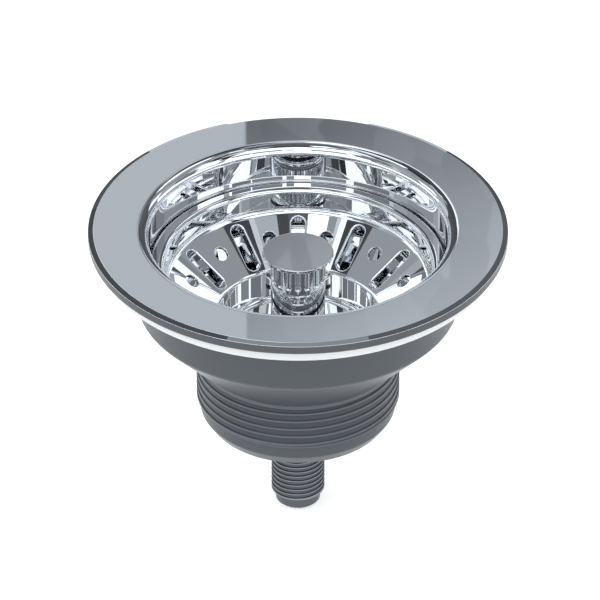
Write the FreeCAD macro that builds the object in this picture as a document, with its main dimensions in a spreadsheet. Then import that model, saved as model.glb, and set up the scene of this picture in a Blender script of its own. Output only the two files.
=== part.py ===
import FreeCAD, Part
import math
import os
import re
import Sketcher

# Basket strainer drain for a kitchen sink, in millimetres, +Z up.
# The origin is on the drain's axis, in the plane where the gasket lies on the sink.
# Heights are levels above that plane; a depth is measured down from the flange's flat top.

SIZES = {
    # Flange and gasket
    "flangeWidth": (12.9, "width of the flange beyond the neck"),
    "flangeThickness": (3.0, "height of the flange"),
    "bevelWidth": (1.4, "width of the bevel round the flange's top"),
    "bevelDrop": (0.45, "height of that bevel"),
    "flangeUnderRound": (0.6, "round under the flange's rim"),
    "lipRound": (2.3, "round where the flange turns down into the bowl"),
    "gasketWidth": (9.9, "width of the sink gasket"),
    "gasketThickness": (3.7, "height of the sink gasket"),
    "gasketRound": (0.7, "round on the gasket's outer edges"),
    "gasketFit": (0.1, "gap between the gasket and its shoulder"),
    # Body
    "neckRadius": (44.1, "outer radius of the neck that passes through the sink"),
    "neckLength": (16.4, "length of the neck below the sink plane"),
    "gasketShoulder": (0.6, "step of the neck that centres the gasket"),
    "neckRound": (2.0, "round between neck and cone"),
    "bodyWall": (3.5, "wall of the neck"),
    "ledgeDepth": (12.7, "depth of the ledge below the flange's top"),
    "ledgeWidth": (2.2, "width of the ledge under the basket's rim"),
    "ledgeRound": (0.8, "round at the foot of the upper wall"),
    "coneEndStep": (0.5, "step from the cone's foot in to the thread"),
    "coneFootRound": (1.4, "round at the foot of the outer cone"),
    "threadRelief": (1.1, "height of the neck between cone and thread"),
    "threadRadius": (28.0, "crest radius of the outlet thread"),
    "threadPitch": (2.5, "pitch of the outlet thread"),
    "threadTurns": (5, "turns of the outlet thread"),
    "threadRunout": (0.35, "plain crest at each end of that thread"),
    "threadDepth": (1.1, "depth of the outlet thread"),
    "threadFlat": (0.5, "flat on a crest and a root of that thread"),
    "endBandStep": (1.0, "step from the thread in to the plain band below it"),
    "endBandLength": (6.9, "length of that band"),
    "mouthTaper": (2.0, "step in of the tapered foot of that band"),
    "mouthTaperHeight": (3.0, "height of that tapered foot"),
    "mouthChamfer": (0.5, "chamfer inside the outlet's mouth"),
    "outletWall": (4.0, "wall of the outlet at the thread's crest"),
    "seatWidth": (2.5, "width of the stopper's seat inside the outlet"),
    "seatLipThickness": (2.5, "height of the stopper's seat"),
    "seatDrop": (0.7, "drop of that seat below the foot of the outer cone"),
    # Basket
    "sheetWall": (1.0, "sheet of the strainer basket"),
    "rimFit": (0.6, "room round the basket's rim"),
    "rimDepth": (11.4, "depth of the rim below the flange's top"),
    "rimWidth": (3.5, "width of the rim outside the basket's wall"),
    "rimRound": (1.5, "round between the rim's top and the wall"),
    "rimEdgeRound": (0.45, "round on the rim's edge"),
    "wallFootDepth": (18.2, "depth where the wall meets the slotted cone"),
    "wallFootRound": (2.2, "inner round between the wall and the cone"),
    "cupInset": (1.3, "inset of the cup's mouth from the stopper's edge"),
    "cupMouthDepth": (28.2, "depth of the cup's mouth"),
    "cupMouthRound": (1.6, "inner round at the cup's mouth"),
    "cupTaper": (1.7, "taper of the cup from its mouth to its floor"),
    "cupFloorDepth": (36.6, "depth of the cup's floor"),
    "cupFloorRound": (1.8, "inner round at the cup's floor"),
    "slotCount": (12, "number of slots, and of holes between them"),
    "slotWidth": (3.6, "width of a slot"),
    "slotFromCup": (1.4, "distance up the cone from the cup's edge to a slot"),
    "slotFromWall": (3.0, "distance down the cone from the wall to a slot"),
    "collarWall": (0.8, "wall of the collar that is turned down round a slot"),
    "collarDepth": (3.0, "depth of that collar below the inside of the cone"),
    "drainHoleRadius": (2.0, "radius of a round hole"),
    "drainHoleInset": (6.5, "distance of the holes' centres from the basket's wall"),
    # Grip post and cap
    "postWall": (2.9, "wall of the post round the stem's head"),
    "postGasketThickness": (0.6, "height of the gasket under the post"),
    "postBase": (4.0, "solid foot of the post under the stem's head"),
    "tailWall": (1.94, "wall of the post's threaded tail"),
    "tailFit": (0.05, "gap between the tail and what it passes through"),
    "fluteCount": (18, "number of flutes"),
    "fluteRadius": (1.05, "radius of a flute"),
    "fluteOffset": (0.45, "distance of a flute's axis outside the post"),
    "fluteLength": (7.4, "length of a flute"),
    "capOverhang": (2.2, "overhang of the knob's cap beyond the post"),
    "capThickness": (1.0, "height of the cap"),
    "capDepth": (8.05, "depth of the cap's top below the flange's top"),
    "capRound": (0.3, "round on the cap's top edge"),
    "capPlugLength": (5.0, "length of the plug under the cap"),
    # Stopper
    "sealLap": (2.1, "lap of the rubber stopper over its seat"),
    "sealThickness": (2.6, "height of the rubber stopper"),
    "sealBevel": (1.0, "bevel on the stopper's top edge"),
    "sealEdgeGap": (0.6, "room round the stopper on its seat"),
    "plateInset": (2.5, "gap between the stopper's plate and the seat's hole"),
    "plateThickness": (1.2, "height of that plate"),
    "plateRound": (0.5, "round on the plate's lower edge"),
    "postNutWall": (2.0, "wall of the post nut at the middle of a flat"),
    "postNutHeight": (4.0, "height of the post nut"),
    # Stem
    "stemRadius": (3.0, "radius of the sliding stem"),
    "stemFit": (0.06, "running gap round the stem"),
    "stemHeadStep": (1.3, "step from the stem out to its head"),
    "stemHeadFit": (0.3, "room round the stem's head in the post"),
    "stemHeadHeight": (2.0, "height of the stem's head"),
    "headWasherThickness": (0.8, "washer under the stem's head"),
    "clipStep": (2.4, "width of the stem's clip outside the stem"),
    "clipThickness": (0.8, "height of the stem's clip"),
    "clipGrooveDepth": (0.6, "depth of the clip's groove in the stem"),
    "clipSweep": (290.0, "part of a full turn that the clip covers, in degrees"),
    "stemLength": (48.0, "length of the stem under its head"),
    "stemTipRound": (1.6, "round on the stem's tip"),
    "detentDepth": (0.3, "depth of the stem's detent groove"),
    # Outlet cross
    "crossHeight": (11.2, "height of the sleeve of the outlet cross"),
    "crossWall": (2.0, "wall of that sleeve"),
    "crossFit": (0.1, "gap between the sleeve and the outlet"),
    "armCount": (2, "number of bars across the outlet"),
    "armWidth": (4.0, "width of a bar"),
    "hubWall": (2.9, "wall of the hub"),
    "hubHeight": (4.0, "height of the hub and the bars"),
    "hubDrop": (5.8, "drop from the sleeve's top to the hub's top"),
    "ringThickness": (1.2, "height of the retaining ring"),
    "ringWidth": (2.4, "width of the retaining ring"),
    "ringGrooveDepth": (1.2, "depth of the ring's groove in the outlet"),
    "ringFit": (0.1, "gap between the ring and its groove"),
    "ringOpening": (9.0, "width of the ring's opening"),
    "ringLugRadius": (2.2, "radius of a lug of the ring"),
    "ringLugHole": (0.9, "radius of the hole in a lug"),
    # Threaded spigot
    "spigotWall": (2.5, "wall of the spigot round the stem's bush"),
    "shankStep": (0.6, "step up to the thicker shank in the hub and the nut"),
    "spigotFit": (0.1, "gap between the shank and the hub"),
    "collarStep": (1.4, "step from the shank out to the spigot's collar"),
    "collarHeight": (2.0, "height of the spigot's collar"),
    "spigotLength": (38.35, "length of the spigot's threaded part below its collar"),
    "pilotStep": (1.2, "step from the thread in to the spigot's plain tip"),
    "pilotLength": (3.3, "length of the spigot's plain tip"),
    "pilotChamfer": (0.7, "chamfer on the tip and the thread's end"),
    "spigotBoreFit": (0.6, "room round the stem in the bore under the bush"),
    "spigotFloor": (4.4, "solid end of the spigot below its bore"),
    "spigotWasherThickness": (1.0, "height of the washer under the hub"),
    "spigotNutWall": (2.5, "wall of the spigot's nut at the middle of a flat"),
    "spigotNutHeight": (4.0, "height of the spigot's nut"),
    "bushWall": (1.84, "wall of the stem's bush"),
    "bushLength": (9.0, "length of the stem's bush"),
    "detentThickness": (1.8, "thickness of the detent ring"),
    # Nuts
    "nutChamferWidth": (1.2, "width of the chamfer on a nut's corners"),
    "nutChamferDrop": (0.6, "height of that chamfer"),
}

# Sizes and levels that follow from the driving ones
DERIVED = {
    "flangeTop": "gasketThickness + flangeThickness",
    "flangeRadius": "neckRadius + flangeWidth",
    "gasketBore": "neckRadius + gasketShoulder + gasketFit",
    "gasketRadius": "gasketBore + gasketWidth",
    "bowlRadius": "neckRadius - bodyWall",
    "ledgeLevel": "flangeTop - ledgeDepth",
    "lowerBowlRadius": "bowlRadius - ledgeWidth",
    "coneEndRadius": "threadRadius + coneEndStep",
    "endBandRadius": "threadRadius - endBandStep",
    "outletRadius": "threadRadius - outletWall",
    "seatHoleRadius": "outletRadius - seatWidth",
    "rimRadius": "bowlRadius - rimFit",
    "basketRadius": "rimRadius - rimWidth",
    "sealRadius": "seatHoleRadius + sealLap",
    "cupRadius": "sealRadius - cupInset",
    "cupFloorRadius": "cupRadius - cupTaper",
    "rimLevel": "flangeTop - rimDepth",
    "wallFootLevel": "flangeTop - wallFootDepth",
    "cupMouthLevel": "flangeTop - cupMouthDepth",
    "cupFloorLevel": "flangeTop - cupFloorDepth",
    "basketSlope": "(wallFootLevel - cupMouthLevel) / (basketRadius - cupRadius)",
    "slopeStretch": "sqrt(1 + basketSlope^2)",
    "sheetDrop": "sheetWall * (slopeStretch - basketSlope)",
    "slopeLength": "(basketRadius - cupRadius) * slopeStretch",
    "slotInnerCentre": "slotFromCup + slotWidth / 2",
    "slotOuterCentre": "slopeLength - slotFromWall - slotWidth / 2",
    "drainHoleCircle": "basketRadius - drainHoleInset",
    "sealTopLevel": "cupFloorLevel - sheetWall",
    "seatLevel": "sealTopLevel - sealThickness",
    "coneEndLevel": "seatLevel + seatDrop",
    "coneSlope": "-(neckLength + coneEndLevel) / (neckRadius - coneEndRadius)",
    "threadTopLevel": "coneEndLevel - threadRelief",
    "threadEndLevel": "threadTopLevel - threadTurns * threadPitch - 2 * threadRunout",
    "bodyFootLevel": "threadEndLevel - endBandLength",
    "seatOuterRadius": "sealRadius + sealEdgeGap",
    "innerConeTopLevel": "seatLevel + (lowerBowlRadius - seatOuterRadius) * coneSlope",
    "lipFootLevel": "seatLevel - seatLipThickness",
    "crossFootLevel": "lipFootLevel - crossHeight",
    "ringFootLevel": "crossFootLevel - ringThickness",
    "ringGrooveRadius": "outletRadius + ringGrooveDepth",
    "ringOuterRadius": "ringGrooveRadius - ringFit",
    "plateRadius": "seatHoleRadius - plateInset",
    "plateFootLevel": "seatLevel - plateThickness",
    "postNutFootLevel": "plateFootLevel - postNutHeight",
    "clipFootLevel": "postNutFootLevel - clipThickness",
    "capTopLevel": "flangeTop - capDepth",
    "postTopLevel": "capTopLevel - capThickness",
    "postFootLevel": "cupFloorLevel + postGasketThickness",
    "chamberFloorLevel": "postFootLevel + postBase",
    "stemBoreRadius": "stemRadius + stemFit",
    "stemHeadRadius": "stemRadius + stemHeadStep",
    "clipRadius": "stemRadius + clipStep",
    "clipGrooveRadius": "stemRadius - clipGrooveDepth",
    "postChamber": "stemHeadRadius + stemHeadFit",
    "postRadius": "postChamber + postWall",
    "fluteCircle": "postRadius + fluteOffset",
    "capRadius": "postRadius + capOverhang",
    "tailRadius": "stemBoreRadius + tailWall",
    "tailHoleRadius": "tailRadius + tailFit",
    "headFootLevel": "chamberFloorLevel + headWasherThickness",
    "headTopLevel": "headFootLevel + stemHeadHeight",
    "stemFootLevel": "headFootLevel - stemLength",
    "hubTopLevel": "lipFootLevel - hubDrop",
    "hubFootLevel": "hubTopLevel - hubHeight",
    "bushRadius": "stemBoreRadius + bushWall",
    "spigotBoreRadius": "stemRadius + spigotBoreFit",
    "spigotRadius": "bushRadius + spigotWall",
    "pilotRadius": "spigotRadius - pilotStep",
    "shankRadius": "spigotRadius + shankStep",
    "collarRadius": "shankRadius + collarStep",
    "hubBoreRadius": "shankRadius + spigotFit",
    "hubRadius": "hubBoreRadius + hubWall",
    "collarTopLevel": "hubTopLevel + collarHeight",
    "bushFootLevel": "collarTopLevel - bushLength",
    "detentFootLevel": "bushFootLevel - detentThickness",
    "detentLevel": "bushFootLevel - detentThickness / 2",
    "detentCircle": "stemBoreRadius + detentThickness / 2",
    "spigotThreadEnd": "hubTopLevel - spigotLength",
    "spigotFootLevel": "spigotThreadEnd - pilotLength",
    "spigotNutTopLevel": "hubFootLevel - spigotWasherThickness",
    "spigotNutFootLevel": "spigotNutTopLevel - spigotNutHeight",
}

MATH_WORDS = ("sqrt", "atan")
FULL_TURN = 360
HALF_TURN = 180
DIAGONAL = 45
TOUCH = 1e-4
# A new outline starts as a regular polygon, before its constraints take it to its size
START_RADIUS = 10
START_CENTRE = 20

doc = FreeCAD.newDocument("SinkDrain")
nodes = []


def make_sheet():
    """Write the driving sizes into a spreadsheet, one alias to a size."""
    sheet = doc.addObject("Spreadsheet::Sheet", "Sizes")
    for row, (alias, (size, meaning)) in enumerate(SIZES.items(), start=1):
        sheet.set(f"A{row}", meaning)
        sheet.set(f"B{row}", str(size))
        sheet.setAlias(f"B{row}", alias)
    doc.recompute()


def formula(text):
    """Turn a formula in the words above into one that reads the spreadsheet."""
    def swap(match):
        word = match.group(0)
        if word in MATH_WORDS:
            return word
        if word in DERIVED:
            return "(" + formula(DERIVED[word]) + ")"
        return "Sizes." + word
    return re.sub(r"[A-Za-z]+", swap, text)


def driving(alias):
    """Look up a driving size."""
    return SIZES[alias][0]


def bind(item, field, text):
    """Tie one property of an object to a formula."""
    item.setExpression(field, formula(text))


def new_body(name):
    """Start a body that becomes the node of this name."""
    body = doc.addObject("PartDesign::Body", name)
    body.Label = name
    nodes.append(body)
    return body


def origin_of(body, role):
    """Find one of a body's own origin planes or axes."""
    return next(item for item in body.Origin.OriginFeatures if item.Role == role)


def new_sketch(body, name, role, turn=0):
    """Make a sketch on one of the body's origin planes, turned about the plane's normal."""
    sketch = body.newObject("Sketcher::SketchObject", name)
    sketch.AttachmentSupport = [(origin_of(body, role), "")]
    sketch.MapMode = "FlatFace"
    up = FreeCAD.Vector(0, 0, 1)
    sketch.AttachmentOffset = FreeCAD.Placement(FreeCAD.Vector(), FreeCAD.Rotation(up, turn))
    return sketch


def place_point(sketch, item, end, across, along):
    """Hold one point of a sketch at two formulas, measured from the sketch's origin."""
    now = sketch.getPoint(item, end)
    for kind, axis, text, start in (("DistanceX", -2, across, now.x), ("DistanceY", -1, along, now.y)):
        if text == "0":
            sketch.addConstraint(Sketcher.Constraint("PointOnObject", item, end, axis))
            continue
        index = sketch.addConstraint(Sketcher.Constraint(kind, -1, 1, item, end, start))
        bind(sketch, f"Constraints[{index}]", text)


def draw_outline(sketch, points):
    """Draw a closed outline of straight lines through points given as pairs of formulas."""
    count = len(points)
    first = sketch.GeometryCount
    turns = [math.tau * step / count for step in range(count)]
    start = [FreeCAD.Vector(START_CENTRE + START_RADIUS * math.cos(turn),
                            START_CENTRE + START_RADIUS * math.sin(turn), 0) for turn in turns]
    for step in range(count):
        sketch.addGeometry(Part.LineSegment(start[step], start[(step + 1) % count]), False)
    for step in range(count):
        following = first + (step + 1) % count
        sketch.addConstraint(Sketcher.Constraint("Coincident", first + step, 2, following, 1))
    for step, (across, along) in enumerate(points):
        place_point(sketch, first + step, 1, across, along)


def draw_circle(sketch, radius, across="0", along="0"):
    """Draw a circle of a bound radius round a point given by two formulas."""
    centre = FreeCAD.Vector(START_CENTRE, START_CENTRE, 0)
    circle = sketch.addGeometry(Part.Circle(centre, FreeCAD.Vector(0, 0, 1), START_RADIUS), False)
    index = sketch.addConstraint(Sketcher.Constraint("Radius", circle, START_RADIUS))
    bind(sketch, f"Constraints[{index}]", radius)
    place_point(sketch, circle, 3, across, along)


class Turned:
    """A body turned about the drain's axis, whose outline's corners are dressed by name."""

    def __init__(self, name, corners, sweep=FULL_TURN):
        self.body = new_body(name)
        self.names = list(corners)
        self.sketch = new_sketch(self.body, "Outline", "XZ_Plane")
        draw_outline(self.sketch, corners.values())
        self.tip = self.body.newObject("PartDesign::Revolution", "Turned")
        self.tip.Profile = self.sketch
        self.tip.ReferenceAxis = (self.sketch, ["V_Axis"])
        self.tip.Angle = sweep
        doc.recompute()

    def edges(self, names):
        """Find the round edges that pass through corners of the outline."""
        found = []
        for name in names:
            point = self.sketch.Geometry[self.names.index(name)].StartPoint
            for index, edge in enumerate(self.tip.Shape.Edges, start=1):
                if not isinstance(edge.Curve, Part.Circle):
                    continue
                same_radius = abs(edge.Curve.Radius - point.x) < TOUCH
                same_level = abs(edge.Curve.Center.z - point.y) < TOUCH
                if same_radius and same_level:
                    found.append(f"Edge{index}")
        return found

    def dress(self, kind, field, size, names):
        """Add a fillet or chamfer on the corners."""
        feature = self.body.newObject("PartDesign::" + kind, kind)
        feature.Base = (self.tip, self.edges(names))
        bind(feature, field, size)
        doc.recompute()
        self.tip = feature

    def round(self, size, *names):
        """Round corners of the outline."""
        self.dress("Fillet", "Radius", size, names)

    def chamfer(self, size, *names):
        """Chamfer corners of the outline."""
        self.dress("Chamfer", "Size", size, names)


def repeat_about_axis(body, features, count, angle=str(FULL_TURN)):
    """Repeat features about the drain's axis."""
    pattern = body.newObject("PartDesign::PolarPattern", "Pattern")
    pattern.Originals = features
    pattern.Axis = (origin_of(body, "Z_Axis"), [""])
    bind(pattern, "Angle", angle)
    bind(pattern, "Occurrences", count)
    body.Tip = pattern
    doc.recompute()


def cut_down(body, sketch, name):
    """Cut a sketch down through all of the body that lies below it."""
    volume = body.Shape.Volume
    pocket = body.newObject("PartDesign::Pocket", name)
    pocket.Profile = sketch
    pocket.Type = "ThroughAll"
    doc.recompute()
    if body.Shape.Volume > volume - TOUCH:
        pocket.Reversed = True
        doc.recompute()
    return pocket


def raise_up(body, sketch, name, height, downwards=False):
    """Raise a sketch into a solid of a bound height."""
    pad = body.newObject("PartDesign::Pad", name)
    pad.Profile = sketch
    pad.Reversed = downwards
    bind(pad, "Length", height)
    doc.recompute()
    return pad


def turn_out(body, sketch, name, axis):
    """Cut a sketch out of the body all round one of the sketch's own lines."""
    groove = body.newObject("PartDesign::Groove", name)
    groove.Profile = sketch
    groove.ReferenceAxis = (sketch, [axis])
    groove.Angle = FULL_TURN
    doc.recompute()
    return groove


def cut_outlet_thread(body):
    """Cut the outlet's thread as a row of ring grooves with flat crests and roots."""
    sketch = new_sketch(body, "ThreadGroove", "XZ_Plane")
    root, over = "threadRadius - threadDepth", "threadRadius + threadFlat"
    middle = "threadTopLevel - threadRunout - threadPitch / 2"
    upper = f"{middle} + threadPitch / 2 - threadFlat / 2"
    lower = f"{middle} - threadPitch / 2 + threadFlat / 2"
    draw_outline(sketch, [
        (root, f"{middle} + threadFlat / 2"), (root, f"{middle} - threadFlat / 2"),
        ("threadRadius", lower), (over, lower), (over, upper), ("threadRadius", upper)])
    groove = turn_out(body, sketch, "ThreadCut", "V_Axis")
    pattern = body.newObject("PartDesign::LinearPattern", "ThreadTurns")
    pattern.Originals = [groove]
    pattern.Direction = (origin_of(body, "Z_Axis"), [""])
    pattern.Reversed = True
    bind(pattern, "Length", "threadPitch * (threadTurns - 1)")
    bind(pattern, "Occurrences", "threadTurns")
    body.Tip = pattern
    doc.recompute()


# Flange, bowl, cone and threaded outlet, cast and turned as one piece
def make_drain_body():
    part = Turned("drain_body", {
        "lip foot": ("seatHoleRadius", "lipFootLevel"),
        "outlet top": ("outletRadius", "lipFootLevel"),
        "groove mouth top": ("outletRadius", "crossFootLevel"),
        "groove top": ("ringGrooveRadius", "crossFootLevel"),
        "groove foot": ("ringGrooveRadius", "ringFootLevel"),
        "groove mouth foot": ("outletRadius", "ringFootLevel"),
        "outlet mouth": ("outletRadius", "bodyFootLevel"),
        "taper foot": ("endBandRadius - mouthTaper", "bodyFootLevel"),
        "taper top": ("endBandRadius", "bodyFootLevel + mouthTaperHeight"),
        "end band top": ("endBandRadius", "threadEndLevel"),
        "thread foot": ("threadRadius", "threadEndLevel"),
        "thread top": ("threadRadius", "threadTopLevel"),
        "cone foot": ("coneEndRadius", "coneEndLevel"),
        "neck foot": ("neckRadius", "-neckLength"),
        "neck top": ("neckRadius", "0"),
        "shoulder foot": ("neckRadius + gasketShoulder", "0"),
        "shoulder top": ("neckRadius + gasketShoulder", "gasketThickness"),
        "flange foot": ("flangeRadius", "gasketThickness"),
        "bevel foot": ("flangeRadius", "flangeTop - bevelDrop"),
        "bevel top": ("flangeRadius - bevelWidth", "flangeTop"),
        "lip": ("bowlRadius", "flangeTop"),
        "ledge outside": ("bowlRadius", "ledgeLevel"),
        "ledge inside": ("lowerBowlRadius", "ledgeLevel"),
        "bowl foot": ("lowerBowlRadius", "innerConeTopLevel"),
        "seat outside": ("seatOuterRadius", "seatLevel"),
        "seat inside": ("seatHoleRadius", "seatLevel"),
    })
    part.round("lipRound", "lip")
    part.round("ledgeRound", "ledge outside", "ledge inside")
    part.round("neckRound", "neck foot", "bowl foot")
    part.round("coneFootRound", "cone foot")
    part.round("flangeUnderRound", "flange foot")
    part.chamfer("mouthChamfer", "outlet mouth")
    cut_outlet_thread(part.body)


# Soft ring that seals the flange on the sink
def make_flange_gasket():
    part = Turned("flange_gasket", {
        "inside foot": ("gasketBore", "0"),
        "outside foot": ("gasketRadius", "0"),
        "outside top": ("gasketRadius", "gasketThickness"),
        "inside top": ("gasketBore", "gasketThickness"),
    })
    part.round("gasketRound", "outside foot", "outside top")


# Pressed basket: rolled rim, wall, slotted cone and a cup for the post
def make_strainer_basket():
    part = Turned("strainer_basket", {
        "hole foot": ("tailHoleRadius", "sealTopLevel"),
        "cup foot outside": ("cupFloorRadius + sheetWall", "sealTopLevel"),
        "cup mouth outside": ("cupRadius + sheetWall", "cupMouthLevel - sheetDrop"),
        "wall foot outside": ("basketRadius + sheetWall", "wallFootLevel - sheetDrop"),
        "rim root outside": ("basketRadius + sheetWall", "rimLevel - sheetWall"),
        "rim edge foot": ("rimRadius", "rimLevel - sheetWall"),
        "rim edge top": ("rimRadius", "rimLevel"),
        "rim root": ("basketRadius", "rimLevel"),
        "wall foot": ("basketRadius", "wallFootLevel"),
        "cup mouth": ("cupRadius", "cupMouthLevel"),
        "cup foot": ("cupFloorRadius", "cupFloorLevel"),
        "hole top": ("tailHoleRadius", "cupFloorLevel"),
    })
    part.round("wallFootRound", "wall foot")
    part.round("wallFootRound + sheetWall", "wall foot outside")
    part.round("cupFloorRound", "cup foot")
    part.round("cupFloorRound + sheetWall", "cup foot outside")
    part.round("rimRound", "rim root")
    part.round("rimRound - sheetWall", "rim root outside")
    part.round("cupMouthRound", "cup mouth")
    part.round("cupMouthRound - sheetWall", "cup mouth outside")
    part.round("rimEdgeRound", "rim edge foot", "rim edge top")
    collar = turn_down_collar(part.body)
    slot = cut_slot(part.body)
    hole = cut_drain_hole(part.body)
    repeat_about_axis(part.body, [collar, slot, hole], "slotCount")


def turn_down_collar(body):
    """Add the collar under one slot, as the full block that the slot then opens."""
    sketch = slope_sketch(body, "Collar", "-sheetWall / 2")
    draw_long_hole(sketch, "slotWidth / 2 + collarWall")
    return raise_up(body, sketch, "CollarPad", "collarDepth - sheetWall / 2", downwards=True)


def cut_slot(body):
    """Cut one long slot with round ends through the cone and its collar."""
    sketch = slope_sketch(body, "Slot", "sheetWall")
    draw_long_hole(sketch, "slotWidth / 2")
    return cut_down(body, sketch, "SlotCut")


def slope_sketch(body, name, height):
    """Make a sketch that runs up the basket's cone from the cup's edge, at a height above the cone."""
    sketch = new_sketch(body, name, "XY_Plane")
    sketch.AttachmentOffset = FreeCAD.Placement(
        FreeCAD.Vector(), FreeCAD.Rotation(FreeCAD.Vector(1, 0, 0), DIAGONAL))
    bind(sketch, "AttachmentOffset.Rotation.Angle", "atan(basketSlope)")
    bind(sketch, "AttachmentOffset.Base.y", f"cupRadius - ({height}) * basketSlope / slopeStretch")
    bind(sketch, "AttachmentOffset.Base.z", f"cupMouthLevel + ({height}) / slopeStretch")
    return sketch


def draw_long_hole(sketch, half_width):
    """Draw the outline of a slot, or of its collar, round the slot's two centres."""
    half = driving("slotWidth") / 2
    inner = half + driving("slotFromCup")
    outer = inner + half + half
    outer_arc = sketch.addGeometry(Part.Arc(
        FreeCAD.Vector(half, outer, 0), FreeCAD.Vector(0, outer + half, 0), FreeCAD.Vector(-half, outer, 0)))
    left = sketch.addGeometry(Part.LineSegment(FreeCAD.Vector(-half, outer, 0), FreeCAD.Vector(-half, inner, 0)))
    inner_arc = sketch.addGeometry(Part.Arc(
        FreeCAD.Vector(-half, inner, 0), FreeCAD.Vector(0, inner - half, 0), FreeCAD.Vector(half, inner, 0)))
    right = sketch.addGeometry(Part.LineSegment(FreeCAD.Vector(half, inner, 0), FreeCAD.Vector(half, outer, 0)))
    for first, second in ((outer_arc, left), (left, inner_arc), (inner_arc, right), (right, outer_arc)):
        sketch.addConstraint(Sketcher.Constraint("Tangent", first, 2, second, 1))
    width = sketch.addConstraint(Sketcher.Constraint("Radius", outer_arc, half))
    bind(sketch, f"Constraints[{width}]", half_width)
    place_point(sketch, outer_arc, 3, "0", "slotOuterCentre")
    place_point(sketch, inner_arc, 3, "0", "slotInnerCentre")


def cut_drain_hole(body):
    """Cut one round hole half way between two slots."""
    sketch = new_sketch(body, "DrainHole", "XY_Plane", HALF_TURN / driving("slotCount"))
    draw_circle(sketch, "drainHoleRadius", "0", "drainHoleCircle")
    return cut_down(body, sketch, "DrainHoleCut")


# Hollow grip post with flutes under the cap and a threaded tail
def make_grip_post():
    part = Turned("grip_post", {
        "tail bore foot": ("stemBoreRadius", "postNutFootLevel"),
        "tail foot": ("tailRadius", "postNutFootLevel"),
        "tail root": ("tailRadius", "postFootLevel"),
        "post foot": ("postRadius", "postFootLevel"),
        "post top": ("postRadius", "postTopLevel"),
        "chamber top": ("postChamber", "postTopLevel"),
        "chamber foot": ("postChamber", "chamberFloorLevel"),
        "tail bore top": ("stemBoreRadius", "chamberFloorLevel"),
    })
    cut_flutes(part.body)
    make_ring("post_gasket", "tailHoleRadius", "postRadius", "cupFloorLevel", "postFootLevel")


def cut_flutes(body):
    """Cut the ring of flutes, each a round channel with a ball-shaped lower end."""
    sketch = new_sketch(body, "Flute", "XZ_Plane")
    near, far = START_RADIUS, START_CENTRE
    high, low = 0, -START_CENTRE
    top = sketch.addGeometry(Part.LineSegment(FreeCAD.Vector(near, high, 0), FreeCAD.Vector(far, high, 0)))
    side = sketch.addGeometry(Part.LineSegment(FreeCAD.Vector(far, high, 0), FreeCAD.Vector(far, low, 0)))
    end = sketch.addGeometry(Part.ArcOfCircle(
        Part.Circle(FreeCAD.Vector(near, low, 0), FreeCAD.Vector(0, 0, 1), far - near), -math.pi / 2, 0))
    axis = sketch.addGeometry(Part.LineSegment(FreeCAD.Vector(near, low + near - far, 0), FreeCAD.Vector(near, high, 0)))
    turn_line = sketch.addGeometry(
        Part.LineSegment(FreeCAD.Vector(near, low + near - far, 0), FreeCAD.Vector(near, high, 0)), True)
    for first, first_end, second, second_end in (
            (top, 2, side, 1), (side, 2, end, 2), (end, 1, axis, 1), (axis, 2, top, 1),
            (turn_line, 1, axis, 1), (turn_line, 2, axis, 2)):
        sketch.addConstraint(Sketcher.Constraint("Coincident", first, first_end, second, second_end))
    sketch.addConstraint(Sketcher.Constraint("Vertical", axis))
    place_point(sketch, top, 1, "fluteCircle", "postTopLevel")
    place_point(sketch, top, 2, "fluteCircle + fluteRadius", "postTopLevel")
    place_point(sketch, side, 2, "fluteCircle + fluteRadius", "postTopLevel - fluteLength + fluteRadius")
    place_point(sketch, end, 3, "fluteCircle", "postTopLevel - fluteLength + fluteRadius")
    repeat_about_axis(body, [turn_out(body, sketch, "FluteCut", "Axis0")], "fluteCount")


# Flat cap with a plug pressed into the post
def make_knob_cap():
    part = Turned("knob_cap", {
        "centre top": ("0", "capTopLevel"),
        "rim top": ("capRadius", "capTopLevel"),
        "rim foot": ("capRadius", "postTopLevel"),
        "plug root": ("postChamber", "postTopLevel"),
        "plug foot": ("postChamber", "postTopLevel - capPlugLength"),
        "centre foot": ("0", "postTopLevel - capPlugLength"),
    })
    part.round("capRound", "rim top", "rim foot")


# Rubber stopper and the plate that backs it
def make_stopper():
    seal = Turned("stopper_seal", {
        "hole foot": ("tailHoleRadius", "seatLevel"),
        "edge foot": ("sealRadius", "seatLevel"),
        "edge top": ("sealRadius", "sealTopLevel"),
        "hole top": ("tailHoleRadius", "sealTopLevel"),
    })
    seal.chamfer("sealBevel", "edge top")
    plate = Turned("seal_plate", {
        "hole foot": ("tailHoleRadius", "plateFootLevel"),
        "edge foot": ("plateRadius", "plateFootLevel"),
        "edge top": ("plateRadius", "seatLevel"),
        "hole top": ("tailHoleRadius", "seatLevel"),
    })
    plate.round("plateRound", "edge foot")


# Stem that slides in the spigot and turns in the post
def make_stem():
    part = Turned("stem", {
        "head top": ("0", "headTopLevel"),
        "head edge top": ("stemHeadRadius", "headTopLevel"),
        "head edge foot": ("stemHeadRadius", "headFootLevel"),
        "shank top": ("stemRadius", "headFootLevel"),
        "clip groove mouth top": ("stemRadius", "postNutFootLevel"),
        "clip groove top": ("clipGrooveRadius", "postNutFootLevel"),
        "clip groove foot": ("clipGrooveRadius", "clipFootLevel"),
        "clip groove mouth foot": ("stemRadius", "clipFootLevel"),
        "detent top": ("stemRadius", "detentLevel + detentThickness / 2"),
        "detent middle": ("stemRadius - detentDepth", "detentLevel"),
        "detent foot": ("stemRadius", "detentLevel - detentThickness / 2"),
        "tip edge": ("stemRadius", "stemFootLevel"),
        "tip": ("0", "stemFootLevel"),
    })
    part.round("stemTipRound", "tip edge")


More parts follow.
